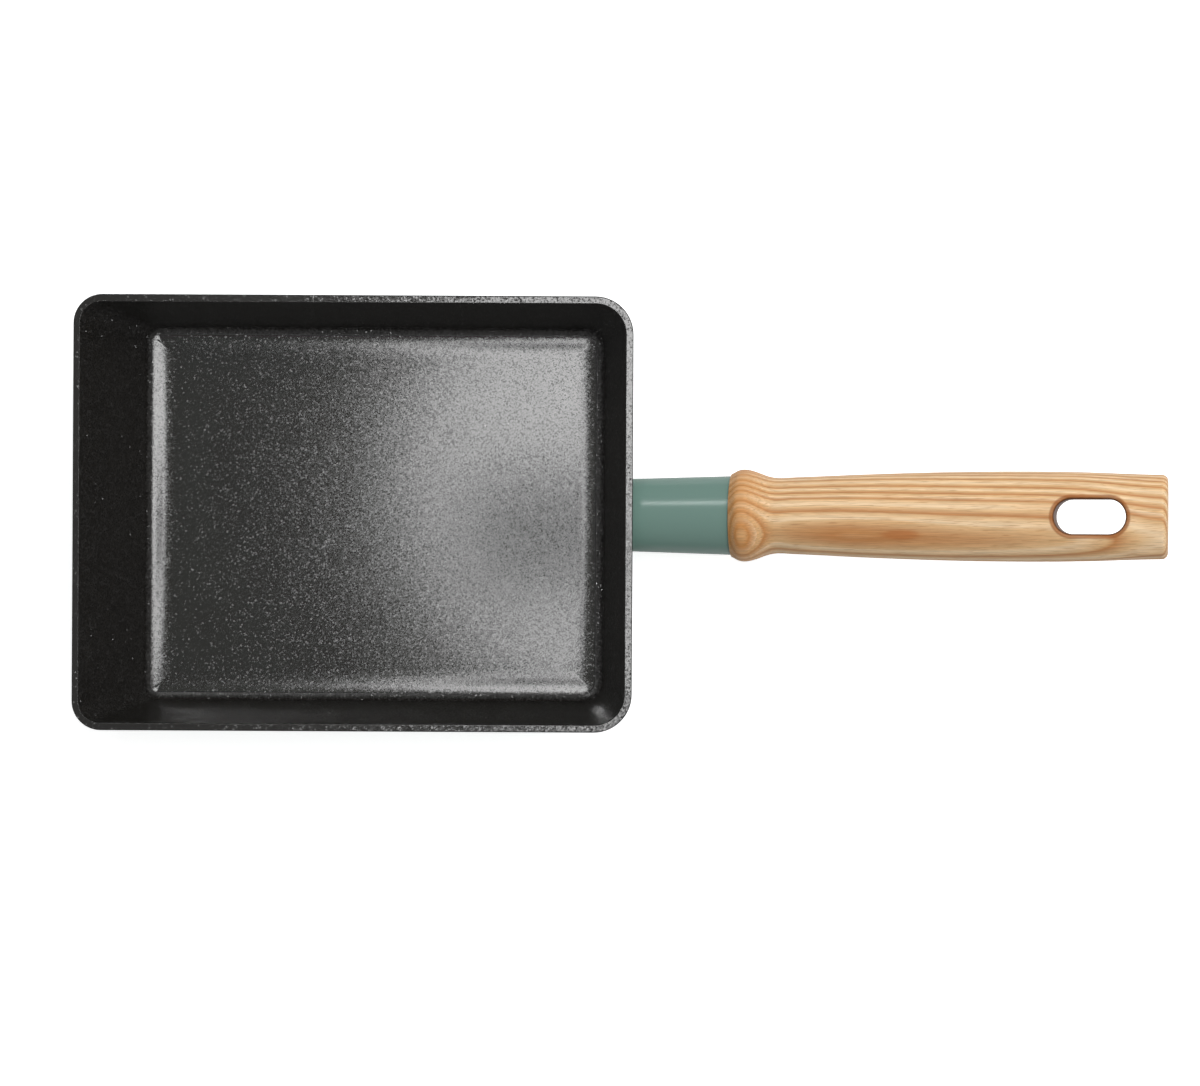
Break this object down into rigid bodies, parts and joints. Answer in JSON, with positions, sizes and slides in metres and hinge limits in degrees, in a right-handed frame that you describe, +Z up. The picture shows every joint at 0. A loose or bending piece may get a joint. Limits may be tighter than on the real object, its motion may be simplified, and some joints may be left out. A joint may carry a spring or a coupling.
{
  "type": "rolled omelette pan",
  "caption": "Rectangular pan for rolled omelettes with a sloped front wall, an oval metal collar and a wooden grip that has a hanging slot.",
  "frame": {"origin": "on the underside that the pan rests on, straight below the middle of the rim", "axes": "+X from the pan towards the end of the grip, +Y across the pan, +Z up out of the pan's mouth"},
  "size_m": [0.3492, 0.1396, 0.0609],
  "materials": {
    "coated_aluminium": "cast aluminium, dark speckled non-stick coating inside, sage green enamel outside",
    "magnetic_steel": "brushed",
    "sage_enamel": "satin paint",
    "zinc_steel": "bright zinc plating",
    "ash": "sanded and oiled",
    "stainless_steel": "polished"
  },
  "bodies": {
    "root": {"pan_body": "coated_aluminium", "induction_plate": "magnetic_steel", "handle_collar": "sage_enamel", "stay_rod": "zinc_steel", "lock_washer": "zinc_steel", "wood_grip": "ash", "grip_screw": "stainless_steel", "screw_washer": "stainless_steel"}
  },
  "joints": []
}
